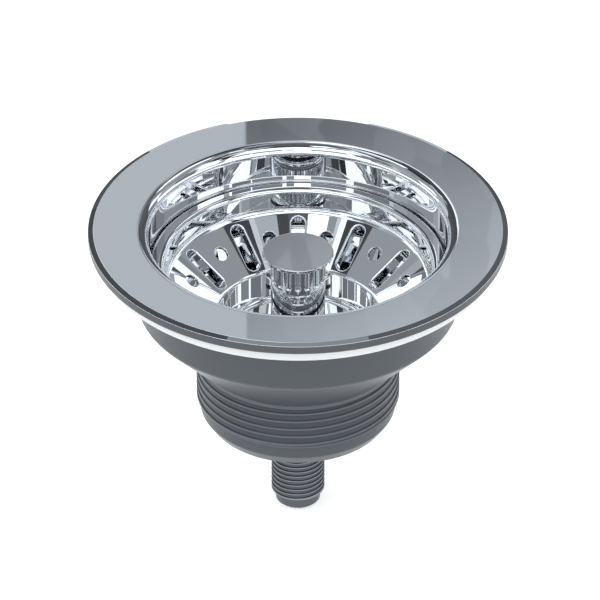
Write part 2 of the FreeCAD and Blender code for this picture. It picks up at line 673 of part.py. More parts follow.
def make_stem_trim():
    """Make the clip in the stem's groove and the washer under its head."""
    Turned("stem_clip", {
        "inside foot": ("clipGrooveRadius", "clipFootLevel"),
        "outside foot": ("clipRadius", "clipFootLevel"),
        "outside top": ("clipRadius", "postNutFootLevel"),
        "inside top": ("clipGrooveRadius", "postNutFootLevel"),
    }, driving("clipSweep"))
    make_ring("head_washer", "stemBoreRadius", "stemHeadRadius", "chamberFloorLevel", "headFootLevel")


def make_ring(name, inside, outside, foot, top):
    """Make a plain ring between two radii and two levels."""
    return Turned(name, {
        "inside foot": (inside, foot),
        "outside foot": (outside, foot),
        "outside top": (outside, top),
        "inside top": (inside, top),
    })


# Hexagon nuts with chamfered corners
def make_nut(name, hole, wall, height, foot):
    """Make a nut from its bore, its thinnest wall, its height and its foot's level."""
    body = new_body(name)
    sketch = new_sketch(body, "Hexagon", "XY_Plane")
    bind(sketch, "AttachmentOffset.Base.z", foot)
    half = f"({hole} + {wall})"
    corner = f"{half} * 2 / sqrt(3)"
    draw_outline(sketch, [
        ("0", corner), ("-" + half, f"{corner} / 2"), ("-" + half, f"-{corner} / 2"),
        ("0", "-" + corner), (half, f"-{corner} / 2"), (half, f"{corner} / 2")])
    draw_circle(sketch, hole)
    raise_up(body, sketch, "HexagonPad", height)
    for level, inward in ((f"{foot} + {height}", "-"), (foot, "+")):
        sketch = new_sketch(body, "CornerCut", "XZ_Plane")
        draw_outline(sketch, [
            (f"{corner} - nutChamferWidth", level),
            (f"{corner} + nutChamferWidth", level),
            (f"{corner} + nutChamferWidth", f"{level} {inward} nutChamferDrop * 2")])
        turn_out(body, sketch, "CornerGroove", "V_Axis")


# Cross that holds the spigot in the middle of the outlet
def make_outlet_cross():
    part = Turned("outlet_cross", {
        "inside foot": ("outletRadius - crossFit - crossWall", "crossFootLevel"),
        "outside foot": ("outletRadius - crossFit", "crossFootLevel"),
        "outside top": ("outletRadius - crossFit", "lipFootLevel"),
        "inside top": ("outletRadius - crossFit - crossWall", "lipFootLevel"),
    })
    body = part.body
    bar = new_sketch(body, "Bar", "XY_Plane", DIAGONAL)
    bind(bar, "AttachmentOffset.Base.z", "hubFootLevel")
    reach = "outletRadius - crossFit - crossWall / 2"
    draw_outline(bar, [
        (f"-({reach})", "-armWidth / 2"), (reach, "-armWidth / 2"),
        (reach, "armWidth / 2"), (f"-({reach})", "armWidth / 2")])
    bars = raise_up(body, bar, "BarPad", "hubHeight")
    repeat_about_axis(body, [bars], "armCount", f"{HALF_TURN} * (armCount - 1) / armCount")
    hub = new_sketch(body, "Hub", "XY_Plane")
    bind(hub, "AttachmentOffset.Base.z", "hubFootLevel")
    draw_circle(hub, "hubRadius")
    raise_up(body, hub, "HubPad", "hubHeight")
    bore = new_sketch(body, "HubBore", "XY_Plane")
    draw_circle(bore, "hubBoreRadius")
    cut_down(body, bore, "HubBoreCut")


# Spring ring with two lugs that keeps the cross in the outlet
def make_retaining_ring():
    part = make_ring("cross_retaining_ring", "ringOuterRadius - ringWidth", "ringOuterRadius",
                     "ringFootLevel", "crossFootLevel")
    body = part.body
    lugs = new_sketch(body, "Lugs", "XY_Plane", -DIAGONAL)
    bind(lugs, "AttachmentOffset.Base.z", "ringFootLevel")
    for side in ("", "-"):
        draw_circle(lugs, "ringLugRadius", f"{side}(ringOpening / 2 + ringLugRadius)",
                    "ringOuterRadius - ringWidth - ringLugRadius / 2")
    raise_up(body, lugs, "LugPad", "ringThickness")
    cuts = new_sketch(body, "OpeningAndHoles", "XY_Plane", -DIAGONAL)
    draw_outline(cuts, [
        ("-ringOpening / 2", "outletRadius / 2"), ("ringOpening / 2", "outletRadius / 2"),
        ("ringOpening / 2", "ringOuterRadius + ringWidth"), ("-ringOpening / 2", "ringOuterRadius + ringWidth")])
    for side in ("", "-"):
        draw_circle(cuts, "ringLugHole", f"{side}(ringOpening / 2 + ringLugRadius)",
                    "ringOuterRadius - ringWidth - ringLugRadius / 2")
    cut_down(body, cuts, "OpeningAndHolesCut")


# Hollow threaded spigot in the cross, with the bush that guides the stem
def make_threaded_spigot():
    part = Turned("threaded_spigot", {
        "socket top": ("bushRadius", "collarTopLevel"),
        "collar top": ("collarRadius", "collarTopLevel"),
        "collar foot": ("collarRadius", "hubTopLevel"),
        "shank top": ("shankRadius", "hubTopLevel"),
        "shank foot": ("shankRadius", "spigotNutFootLevel"),
        "thread top": ("spigotRadius", "spigotNutFootLevel"),
        "thread end": ("spigotRadius", "spigotThreadEnd"),
        "pilot root": ("pilotRadius", "spigotThreadEnd"),
        "pilot foot": ("pilotRadius", "spigotFootLevel"),
        "centre foot": ("0", "spigotFootLevel"),
        "bore floor centre": ("0", "spigotFootLevel + spigotFloor"),
        "bore floor": ("spigotBoreRadius", "spigotFootLevel + spigotFloor"),
        "bore top": ("spigotBoreRadius", "detentFootLevel"),
        "socket foot": ("bushRadius", "detentFootLevel"),
    })
    part.chamfer("pilotChamfer", "thread end", "pilot foot", "collar top")
    make_ring("stem_bush", "stemBoreRadius", "bushRadius", "bushFootLevel", "collarTopLevel")
    make_ring("spigot_washer", "hubBoreRadius", "hubRadius", "spigotNutTopLevel", "hubFootLevel")


def make_detent_ring():
    """Make the rubber ring that grips the stem."""
    ring = doc.addObject("Part::Torus", "detent_ring")
    ring.Label = "detent_ring"
    bind(ring, "Radius1", "detentCircle")
    bind(ring, "Radius2", "detentThickness / 2")
    bind(ring, "Placement.Base.z", "detentLevel")
    nodes.append(ring)


def check_and_write():
    """Check every object and every node, then write one STEP file to a node."""
    doc.recompute()
    for item in doc.Objects:
        if {"Invalid", "Error"} & set(item.State):
            raise RuntimeError(f"{item.Label} failed: {item.State}")
    for node in nodes:
        shape = node.Shape
        if shape.isNull() or not shape.isValid() or len(shape.Solids) != 1:
            raise RuntimeError(f"{node.Label} is not one valid solid")
    os.makedirs("parts", exist_ok=True)
    for node in nodes:
        node.Shape.exportStep(f"parts/{node.Label}.step")
        print(f"{node.Label}: {node.Shape.Volume:.1f} mm3")


make_sheet()
make_drain_body()
make_flange_gasket()
make_strainer_basket()
make_grip_post()
make_knob_cap()
make_stopper()
make_nut("post_nut", "tailRadius", "postNutWall", "postNutHeight", "postNutFootLevel")
make_stem()
make_stem_trim()
make_outlet_cross()
make_retaining_ring()
make_threaded_spigot()
make_detent_ring()
make_nut("spigot_nut", "shankRadius", "spigotNutWall", "spigotNutHeight", "spigotNutFootLevel")
check_and_write()
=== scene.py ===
"""The looks of a basket strainer drain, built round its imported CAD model.

The sizes of pieces are millimetres and those of the studio metres. The drain's axis is Z, with +Z up, and the
sink's face is at level 0.
"""

import logging
import math
from dataclasses import dataclass, field
from enum import Enum

import bpy
import numpy as np
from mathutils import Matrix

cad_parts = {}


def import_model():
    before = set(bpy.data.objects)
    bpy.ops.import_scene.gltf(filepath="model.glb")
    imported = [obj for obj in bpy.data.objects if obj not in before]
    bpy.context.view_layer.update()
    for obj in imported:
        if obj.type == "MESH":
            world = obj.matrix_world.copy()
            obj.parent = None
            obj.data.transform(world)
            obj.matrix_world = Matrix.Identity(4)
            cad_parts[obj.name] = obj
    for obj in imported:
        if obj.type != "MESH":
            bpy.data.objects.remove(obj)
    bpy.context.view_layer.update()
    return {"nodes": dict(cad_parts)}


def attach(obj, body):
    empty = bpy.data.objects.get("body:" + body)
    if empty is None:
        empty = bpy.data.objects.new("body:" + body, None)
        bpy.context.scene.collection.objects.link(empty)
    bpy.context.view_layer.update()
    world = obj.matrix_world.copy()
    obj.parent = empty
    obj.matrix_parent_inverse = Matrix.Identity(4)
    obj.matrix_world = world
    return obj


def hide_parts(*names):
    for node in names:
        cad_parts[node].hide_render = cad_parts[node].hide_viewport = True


# A millimetre in metres
MM = 0.001
# Points of a mesh that are closer than this, in metres, become one
WELD = 1e-7
# A straight of an outline that is shorter than this, in millimetres, is left out
SHORTEST = 1e-7
DEGREES = math.degrees(1)

Array = np.ndarray
Colour = tuple[float, float, float]
Place = tuple[float, float, float]
Socket = bpy.types.NodeSocket
CHROME: Colour = (0.895, 0.90, 0.905)
FINE_GRAIN = {"relief": 0.15, "relief_height": 0.00001, "scale": 900}

log = logging.getLogger("sink_drain")


class Tone(Enum):
    """The finish of a side of a turned piece, as the number of its material on the mesh."""

    SHOWN = 0
    # The outside's dull plating; on the flange's chrome rim side it is a painted dark reflection
    HIDDEN = 1
    THREAD = 2


class Ray(Enum):
    """A kind of ray that the studio answers, as the name of its output on the light path."""

    CAMERA = "Is Camera Ray"
    GLOSSY = "Is Glossy Ray"
    TRANSMISSION = "Is Transmission Ray"


# Surfaces


def smooth(share: Array) -> Array:
    """The smooth step of a share s between 0 and 1, which is s * s * (3 - 2 s)."""
    return share * share * (3 - 2 * share)


def wrap(radius: Array, angle: Array, levels: Array) -> Array:
    """Points round the axis, (radius cos angle, radius sin angle, level), with one level to a row."""
    up = levels[:, None] + 0 * angle
    return np.stack([radius * np.cos(angle), radius * np.sin(angle), up], axis=-1)


def show(name: str, data: bpy.types.ID) -> bpy.types.Object:
    """Put an object into the scene.

    Args:
        name: its name.
        data: its mesh, light or camera.

    Returns:
        The object, at the origin.
    """
    made = bpy.data.objects.new(name, data)
    bpy.context.scene.collection.objects.link(made)
    return made


@dataclass
class Skin:
    """Patches of surface on grids of points, welded into one mesh that keeps their own normals."""

    points: list[Array] = field(default_factory=list)
    quads: list[Array] = field(default_factory=list)
    normals: list[Array] = field(default_factory=list)
    tones: list[Array] = field(default_factory=list)
    count: int = 0

    def add(self, points: Array, normals: Array, tone: Tone = Tone.SHOWN, closed: bool = False) -> None:
        """Add one patch. Its faces are turned so that they look the way its normals do.

        Args:
            points: rows x columns x 3, in millimetres.
            normals: the outward normal at each point, in any length.
            tone: the finish of the patch.
            closed: the last column joins the first one.
        """
        if closed:
            points = np.concatenate([points, points[:, :1]], axis=1)
            normals = np.concatenate([normals, normals[:, :1]], axis=1)
        rows, columns = points.shape[:2]
        index = np.arange(rows * columns).reshape(rows, columns)
        corners = (np.s_[:-1, :-1], np.s_[:-1, 1:], np.s_[1:, 1:], np.s_[1:, :-1])
        quads = np.stack([index[corner] for corner in corners], axis=-1).reshape(-1, 4)
        flat, directions = points.reshape(-1, 3), normals.reshape(-1, 3)
        directions = directions / np.linalg.norm(directions, axis=1, keepdims=True)
        across = flat[quads[:, 2]] - flat[quads[:, 0]]
        along = flat[quads[:, 3]] - flat[quads[:, 1]]
        if np.sum(np.cross(across, along) * directions[quads].sum(axis=1)) < 0:
            quads = quads[:, ::-1]
        self.points.append(flat * MM)
        self.normals.append(directions[quads])
        self.quads.append(quads + self.count)
        self.tones.append(np.full(len(quads), tone.value))
        self.count += len(flat)

    def build(self, name: str, materials: list[bpy.types.Material]) -> bpy.types.Object:
        """Weld the patches and make the object. A corner that welds onto its neighbour leaves a triangle.

        Args:
            name: the piece's name.
            materials: one material to a tone.

        Returns:
            The object, at the origin.
        """
        points, quads = np.concatenate(self.points), np.concatenate(self.quads)
        _, first, welded = np.unique(
            np.round(points / WELD).astype(np.int64), axis=0, return_index=True, return_inverse=True)
        quads = welded.reshape(-1)[quads]
        kept = quads != np.roll(quads, -1, axis=1)
        real = kept.sum(axis=1) > 2
        quads, kept = quads[real], kept[real]
        totals = kept.sum(axis=1)
        loops = quads[kept]
        mesh = bpy.data.meshes.new(name)
        mesh.vertices.add(len(first))
        mesh.vertices.foreach_set("co", points[first].astype(np.float32).ravel())
        mesh.loops.add(len(loops))
        mesh.loops.foreach_set("vertex_index", loops.astype(np.int32))
        mesh.polygons.add(len(quads))
        mesh.polygons.foreach_set("loop_start", (np.cumsum(totals) - totals).astype(np.int32))
        mesh.polygons.foreach_set("material_index", np.concatenate(self.tones)[real].astype(np.int32))
        mesh.polygons.foreach_set("use_smooth", np.ones(len(quads), dtype=bool))
        mesh.update(calc_edges=True)
        mesh.normals_split_custom_set(np.concatenate(self.normals)[real][kept])
        for material in materials:
            mesh.materials.append(material)
        return show(name, mesh)


@dataclass(frozen=True)
class Corner:
    """A corner of a turned outline, its round, and the finish and name of the side that starts there."""

    radius: float
    level: float
    round: float = 0.0
    tone: Tone = Tone.SHOWN
    side: str = ""

    @classmethod
    def hidden(cls, radius: float, level: float, round: float = 0.0, side: str = "") -> "Corner":
        """Make a corner whose side has the hidden finish."""
        return cls(radius, level, round, Tone.HIDDEN, side)


@dataclass
class Run:
    """A straight or an arc of a turned outline: points and outward normals as rows of (radius, level)."""

    points: Array
    normals: Array
    tone: Tone
    side: str


@dataclass
class Outline:
    """A closed outline that is turned about the axis. Its corners run up the outside and down the inside."""

    corners: list[Corner]
    arc_step: float = math.radians(9)
    least_steps: int = 3

    def runs(self) -> list[Run]:
        """Round the corners: an arc of radius R touches both sides R * tan(half the turn) from the corner.

        Returns:
            The arcs and straights in order.
        """
        place = np.array([(corner.radius, corner.level) for corner in self.corners])
        ahead = np.roll(place, -1, axis=0) - place
        ahead /= np.linalg.norm(ahead, axis=1, keepdims=True)
        behind = np.roll(ahead, 1, axis=0)
        bend = behind[:, 0] * ahead[:, 1] - behind[:, 1] * ahead[:, 0]
        turn = np.arctan2(bend, np.sum(behind * ahead, axis=1))
        sizes = np.array([corner.round for corner in self.corners])
        reach = (sizes * np.tan(np.abs(turn) / 2))[:, None]
        before, after = place - behind * reach, place + ahead * reach
        ends = np.roll(before, -1, axis=0)
        outward = np.stack([ahead[:, 1], -ahead[:, 0]], axis=1)
        found = []
        for number, corner in enumerate(self.corners):
            if corner.round:
                found.append(self.arc(corner, outward[number - 1], turn[number], before[number]))
            straight = np.array([after[number], ends[number]])
            if np.linalg.norm(straight[1] - straight[0]) > SHORTEST:
                normals = np.repeat(outward[number][None], 2, axis=0)
                found.append(Run(straight, normals, corner.tone, corner.side))
        return found

    def arc(self, corner: Corner, normal: Array, turn: float, start: Array) -> Run:
        """Sweep the normal through the turn. A point lies R along the normal from the arc's centre.

        Args:
            corner: the corner that is rounded.
            normal: the outward normal of the side before it.
            turn: the angle between its two sides.
            start: where the arc touches the side before it.

        Returns:
            The arc.
        """
        steps = max(self.least_steps, math.ceil(abs(turn) / self.arc_step))
        angles = np.linspace(0, turn, steps + 1)
        cos, sin = np.cos(angles), np.sin(angles)
        normals = np.stack([normal[0] * cos - normal[1] * sin, normal[0] * sin + normal[1] * cos], axis=1)
        points = start + math.copysign(corner.round, turn) * (normals - normals[0])
        return Run(points, normals, corner.tone, corner.side + " round")

    def side(self, name: str) -> Run:
        """Find the straight of this name."""
        return next(run for run in self.runs() if run.side == name)


@dataclass
class Lathe:
    """Turns outlines about the axis: a point (r, z) goes to (r cos a, r sin a, z) for each angle a."""

    columns: int = 256
    start: float = 0.0

    @property
    def angles(self) -> Array:
        """The angles of the columns, once round."""
        return self.start + np.arange(self.columns) * math.tau / self.columns

    def sweep(self, values: Array) -> Array:
        """Carry rows of (radial, level) round the axis as rows x columns x 3."""
        return wrap(values[:, :1], self.angles, values[:, 1])

    def turn(self, skin: Skin, outline: Outline, skip: tuple[str, ...] = ()) -> None:
        """Add every run of the outline but the named straights.

        Args:
            skin: the mesh that grows.
            outline: the outline.
            skip: names of the sides that something else covers.
        """
        for run in outline.runs():
            if run.side not in skip:
                skin.add(self.sweep(run.points), self.sweep(run.normals), run.tone, closed=True)


@dataclass(frozen=True)
class Thread:
    """A right-hand thread on a cylinder, with narrow crests, soft flanks and flat roots."""

    crest: float
    depth: float
    pitch: float
    foot: float
    top: float
    start: float = 0.0
    runout: float = 0.5
    rows_per_pitch: int = 28
    crest_share: float = 0.12
    flank_share: float = 0.4

    def cut(self, skin: Skin, lathe: Lathe, tone: Tone) -> None:
        """Radius = crest - depth * groove, with turns = level / pitch - angle / full turn + start.

        The distance from the crest is |2 * fraction(turns) - 1|, and groove is the smooth step of that, less
        the crest's share and over the flank's share. It runs out to nothing at both ends. The normal is the
        cross product of the surface's two slopes.

        Args:
            skin: the mesh that grows.
            lathe: gives the columns.
            tone: the finish of the thread.
        """
        rows = int((self.top - self.foot) / self.pitch * self.rows_per_pitch)
        levels = np.linspace(self.foot, self.top, rows)[:, None]
        angles = lathe.angles[None]
        turns = levels / self.pitch - angles / math.tau + self.start
        flank = np.clip((np.abs(2 * (turns % 1) - 1) - self.crest_share) / self.flank_share, 0, 1)
        from_end = np.minimum(levels - self.foot, self.top - levels)
        groove = smooth(flank) * smooth(np.clip(from_end / (self.runout * self.pitch), 0, 1))
        radius = self.crest - self.depth * groove
        climb = np.gradient(radius, levels[:, 0], axis=0)
        two_columns = 2 * math.tau / lathe.columns
        around = (np.roll(radius, -1, axis=1) - np.roll(radius, 1, axis=1)) / two_columns / radius
        cos, sin = np.cos(angles), np.sin(angles)
        normals = np.stack([cos + around * sin, sin - around * cos, -climb], axis=-1)
        skin.add(wrap(radius, angles, levels[:, 0]), normals, tone, closed=True)


# Finishes


@dataclass
class Wiring:
    """Adds nodes to a tree and joins them."""

    tree: bpy.types.NodeTree

    @property
    def shader(self) -> bpy.types.Node:
        """The material's shader."""
        return self.tree.nodes["Principled BSDF"]

    def node(self, kind: str, *values: object, **settings: object) -> bpy.types.Node:
        """Add a node.

        Args:
            kind: the node's type.
            values: sockets or plain values for its first inputs.
            settings: its properties by name.

        Returns:
            The node.
        """
        made = self.tree.nodes.new(kind)
        for name, value in settings.items():
            setattr(made, name, value)
        for socket, value in zip(made.inputs, values):
            self.join(value, socket)
        return made

    def join(self, source: object, target: Socket) -> None:
        """Fill a socket.

        Args:
            source: a socket that is linked, or a plain value that is set.
            target: the socket to fill.
        """
        if isinstance(source, bpy.types.NodeSocket):
            self.tree.links.new(source, target)
        else:
            target.default_value = source

    def result(self, kind: str, *values: object, **settings: object) -> Socket:
        """Add a node and give its first output."""
        return self.node(kind, *values, **settings).outputs[0]

    def maths(self, operation: str, *values: object) -> Socket:
        """Add a Math node on the given sockets or numbers."""
        return self.result("ShaderNodeMath", *values, operation=operation)

    def limit(self, value: Socket) -> Socket:
        """Keep a number between 0 and 1."""
        return self.maths("MINIMUM", self.maths("MAXIMUM", value, 0.0), 1.0)

    def between(self, share: Socket, low: object, high: object) -> Socket:
        """Blend two numbers.

        Args:
            share: how much of the high one, from 0 to 1.
            low: a socket or a number.
            high: a socket or a number.

        Returns:
            The blend.
        """
        made = self.node("ShaderNodeMix", data_type="FLOAT")
        for number, value in ((0, share), (2, low), (3, high)):
            self.join(value, made.inputs[number])
        return made.outputs[0]

    def axes(self, coordinates: str) -> tuple[Socket, ...]:
        """The X, Y and Z of the named coordinates."""
        place = self.node("ShaderNodeTexCoord").outputs[coordinates]
        return tuple(self.node("ShaderNodeSeparateXYZ", place).outputs)

    def noise(self, scale: float, detail: float, stretch: Place) -> Socket:
        """Add noise on the piece's own Object coordinates.

        Args:
            scale: how fine it is.
            detail: how many finer layers it has.
            stretch: factors along the axes.

        Returns:
            The noise, around 0.5.
        """
        mapping = self.node("ShaderNodeMapping", self.node("ShaderNodeTexCoord").outputs["Object"])
        mapping.inputs["Scale"].default_value = stretch
        made = self.node("ShaderNodeTexNoise", mapping.outputs["Vector"])
        made.inputs["Scale"].default_value = scale
        made.inputs["Detail"].default_value = detail
        return made.outputs["Fac"]


@dataclass(frozen=True)
class Finish:
    """A finish with its colour, gloss and fine relief, all procedural on Object coordinates."""

    name: str
    colour: Colour
    roughness: float
    metallic: float = 1.0
    mottle: float = 0.0
    relief: float = 0.0
    relief_height: float = 0.00002
    scale: float = 400.0
    detail: float = 3.0
    stretch: Place = (1.0, 1.0, 1.0)

    def make(self) -> bpy.types.Material:
        """Build the material. Mottle moves the roughness, relief is a bump of the given height in metres.

        Returns:
            The material.
        """
        material = bpy.data.materials.new(self.name)
        material.use_nodes = True
        wiring = Wiring(material.node_tree)
        shader = wiring.shader
        shader.inputs["Base Color"].default_value = (*self.colour, 1)
        shader.inputs["Metallic"].default_value = self.metallic
        shader.inputs["Roughness"].default_value = self.roughness
        if self.mottle or self.relief:
            grain = wiring.noise(self.scale, self.detail, self.stretch)
        if self.mottle:
            low, high = self.roughness * (1 - self.mottle), self.roughness * (1 + self.mottle)
            wiring.join(wiring.between(grain, low, high), shader.inputs["Roughness"])
        if self.relief:
            bump = wiring.node("ShaderNodeBump")
            bump.inputs["Strength"].default_value = self.relief
            bump.inputs["Distance"].default_value = self.relief_height
            wiring.join(grain, bump.inputs["Height"])
            wiring.join(bump.outputs["Normal"], shader.inputs["Normal"])
        return material


@dataclass(frozen=True)
class ThreadPaintedLightFinish(Finish):
    """A thread's finish with painted shade in the root and a painted highlight on the crest. The radii are
    millimetres.
    """

    painted_highlight: Colour = (0.5, 0.5, 0.5)
    root_radius: float = 1.0
    crest_radius: float = 2.0
    painted_highlight_from: float = 0.55

    def make(self) -> bpy.types.Material:
        """Build the material. Its colour blends with the distance from the axis, the root of x * x + y * y,
        from painted shade to painted highlight.

        Returns:
            The material.
        """
        material = super().make()
        wiring = Wiring(material.node_tree)
        squares = [wiring.maths("MULTIPLY", axis, axis) for axis in wiring.axes("Object")[:2]]
        distance = wiring.maths("DIVIDE", wiring.maths("SQRT", wiring.maths("ADD", *squares)), MM)
        # Out from this radius the colour turns to the painted highlight of the crest; inside it the root
        # keeps its painted shade
        painted_highlight = self.root_radius + self.painted_highlight_from * (self.crest_radius - self.root_radius)
        above = wiring.maths("SUBTRACT", distance, painted_highlight)
        share = wiring.limit(wiring.maths("DIVIDE", above, self.crest_radius - painted_highlight))
        channels = [wiring.between(share, *pair) for pair in zip(self.colour, self.painted_highlight)]
        tint = wiring.result("ShaderNodeCombineColor", *channels)
        wiring.join(tint, wiring.shader.inputs["Base Color"])
        return material


@dataclass
class Finishes:
    """The finishes of the drain, each made once."""

    chrome: Finish = Finish("polished_chrome", CHROME, 0.012, mottle=0.3, relief=0.1, relief_height=0.000001,
                            scale=60)
    basket: Finish = Finish("pressed_chrome", CHROME, 0.02, mottle=0.3, relief=0.25, scale=80)
    grip: Finish = Finish("turned_chrome", CHROME, 0.015, mottle=0.3, relief=0.1, relief_height=0.000002,
                          scale=120)
    # The outside's dull plating; on the flange's chrome rim side it is a painted dark reflection
    plating: Finish = Finish("plating_and_painted_dark_rim", (0.067, 0.0765, 0.087), 0.34, metallic=0.1, mottle=0.25,
                             **FINE_GRAIN)
    # Both threads get painted light: a dark root colour as painted shade and a light crest colour as a
    # painted highlight
    outlet_thread: Finish = ThreadPaintedLightFinish(
        "outlet_thread_painted_shade_and_highlight", (0.034, 0.040, 0.048), 0.34, metallic=0.1, mottle=0.25, **FINE_GRAIN,
        painted_highlight=(0.110, 0.118, 0.134), root_radius=27.6, crest_radius=28.0)
    spigot: Finish = Finish("dark_plated_spigot", (0.118, 0.125, 0.136), 0.34, mottle=0.3, **FINE_GRAIN)
    spigot_thread: Finish = ThreadPaintedLightFinish(
        "spigot_thread_painted_shade_and_highlight", (0.101, 0.107, 0.117), 0.34, mottle=0.3, **FINE_GRAIN,
        painted_highlight=(0.28, 0.29, 0.31), root_radius=7.0, crest_radius=7.4)
    gasket: Finish = Finish("white_gasket_rubber", (0.96, 0.97, 0.97), 0.55, metallic=0, mottle=0.2,
                            relief=0.25)
    steel: Finish = Finish("satin_steel", (0.42, 0.43, 0.44), 0.3, mottle=0.3, relief=0.3, scale=700,
                           stretch=(1.0, 1.0, 0.1))
    plastic: Finish = Finish("bush_plastic", (0.8, 0.8, 0.78), 0.4, metallic=0, mottle=0.2, relief=0.2)
    rubber: Finish = Finish("black_rubber", (0.025, 0.025, 0.027), 0.6, metallic=0, mottle=0.2, relief=0.3)
    made: dict[str, bpy.types.Material] = field(default_factory=dict)

    def of(self, finish: Finish) -> bpy.types.Material:
        """Return the material of a finish.

        Args:
            finish: the finish.

        Returns:
            The material, which is made at its first use.
        """
        if finish.name not in self.made:
            self.made[finish.name] = finish.make()
        return self.made[finish.name]


# Pieces


@dataclass
class Piece:
    """What every piece of the scene knows: its finishes, and how it takes the place of its CAD node."""

    finishes: Finishes

    def seat(self, skin: Skin, name: str, body: str, node: str, slot: str, *finishes: Finish) -> None:
        """Build a skin and fasten it to its CAD body in place of its CAD node.

        Args:
            skin: the surface.
            name: the piece's name.
            body: the CAD body it moves with.
            node: the CAD node it stands for.
            slot: a material slot's name, not used.
            finishes: one finish to a tone.
        """
        made = skin.build(name, [self.finishes.of(finish) for finish in finishes])
        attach(made, body)
        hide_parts(node)
        log.info("%s: %d faces", name, len(made.data.polygons))


@dataclass
class Flange(Piece):
    """The flange, bowl, cone and threaded outlet, turned as one."""

    radius: float = 57.0
    foot: float = 3.7
    edge: float = 6.25
    bevel: float = 55.6
    top: float = 6.7
    bowl: float = 40.6
    step: float = 38.4
    step_level: float = -6.0
    cone_top: float = -18.57
    cone_foot: float = 24.2
    ledge: float = 21.5
    ledge_top: float = -33.5
    ledge_foot: float = -36.0
    bore: float = 24.0
    bore_foot: float = -53.5
    ring_groove: float = 25.2
    ring_groove_top: float = -47.2
    ring_groove_foot: float = -48.4
    mouth: float = -54.0
    mouth_inside: float = 24.5
    mouth_outside: float = 25.0
    tip: float = 27.0
    tip_foot: float = -51.0
    thread: Thread = Thread(crest=28.0, depth=0.4, pitch=2.5, foot=-47.1, top=-33.9, start=0.65)
    neck: float = 28.5
    neck_level: float = -32.8
    body: float = 44.1
    body_foot: float = -16.4
    collar: float = 44.7
    columns: int = 384

    def outline(self) -> Outline:
        """Draw the casting: dull up the outside, painted dark on the chrome rim side as a dark reflection,
        polished from the flange's edge down the inside.

        Returns:
            The outline.
        """
        dark_outside, thread = Corner.hidden, self.thread
        return Outline([
            dark_outside(self.ledge, self.ledge_foot), dark_outside(self.bore, self.ledge_foot),
            dark_outside(self.bore, self.ring_groove_top), dark_outside(self.ring_groove, self.ring_groove_top),
            dark_outside(self.ring_groove, self.ring_groove_foot), dark_outside(self.bore, self.ring_groove_foot),
            dark_outside(self.bore, self.bore_foot), dark_outside(self.mouth_inside, self.mouth),
            dark_outside(self.mouth_outside, self.mouth), dark_outside(self.tip, self.tip_foot, round=1.0),
            dark_outside(self.tip, thread.foot), dark_outside(thread.crest, thread.foot, side="thread"),
            dark_outside(thread.crest, thread.top), dark_outside(self.neck, self.neck_level, round=1.4),
            dark_outside(self.body, self.body_foot, round=2.0), dark_outside(self.body, 0.0), dark_outside(self.collar, 0.0),
            # The flange's rim side starts here: chrome given the dull plating as a painted dark reflection
            dark_outside(self.collar, self.foot), dark_outside(self.radius, self.foot, round=0.6),
            Corner(self.radius, self.edge, round=0.08), Corner(self.bevel, self.top, round=0.5),
            Corner(self.bowl, self.top, round=3.2), Corner(self.bowl, self.step_level, round=0.8),
            Corner(self.step, self.step_level, round=0.8), Corner(self.step, self.cone_top, round=2.0),
            Corner(self.cone_foot, self.ledge_top), Corner(self.ledge, self.ledge_top)])

    def build(self) -> None:
        """Turn the outline and cut the outlet's thread."""
        skin, lathe = Skin(), Lathe(self.columns)
        lathe.turn(skin, self.outline(), skip=("thread",))
        self.thread.cut(skin, lathe, Tone.THREAD)
        self.seat(skin, "drain_casting", "drain", "drain_body", "chromed_body",
                  self.finishes.chrome, self.finishes.plating, self.finishes.outlet_thread)


@dataclass
class SinkGasket(Piece):
    """The soft white ring under the flange."""

    inside: float = 44.8
    outside: float = 54.7
    top: float = 3.7
    round: float = 0.7

    def build(self) -> None:
        """Turn the ring."""
        skin = Skin()
        Lathe().turn(skin, Outline([
            Corner(self.inside, 0.0), Corner(self.outside, 0.0, self.round),
            Corner(self.outside, self.top, self.round), Corner(self.inside, self.top)]))
        self.seat(skin, "sink_gasket", "drain", "flange_gasket", "white_gasket", self.finishes.gasket)


@dataclass(frozen=True)
class Opening:
    """A hole through the basket's cone: an outline round two centres on the slope, and its rolled edge."""

    half_width: float
    inner: float
    outer: float
    roll: float
    depth: float
    collar: float

    def ring(self, columns: int, outward: float) -> tuple[Array, Array]:
        """Go once round the hole at a distance outside its wall.

        A quarter of the columns covers each end arc and each side. A round hole's quarters are all arcs.

        Args:
            columns: points once round, a multiple of four.
            outward: distance outside the wall.

        Returns:
            The points (across, up the slope), and the unit directions from them to the hole's middle.
        """
        share = np.arange(columns // 4) / (columns // 4)
        flat, size = np.zeros_like(share), self.half_width + outward
        if self.outer > self.inner:
            angles = np.concatenate([math.pi * (1 + share), flat, math.pi * share, flat + math.pi])
            centre = np.concatenate([flat + self.inner, self.inner + share * (self.outer - self.inner),
                                     flat + self.outer, self.outer - share * (self.outer - self.inner)])
        else:
            quarters = np.concatenate([share, share + 1, share + 2, share + 3])
            angles = -0.75 * math.pi + 0.5 * math.pi * quarters
            centre = np.full(columns, self.inner)
        away = np.stack([np.cos(angles), np.sin(angles)], axis=1)
        return away * size + np.stack([0 * centre, centre], axis=1), -away


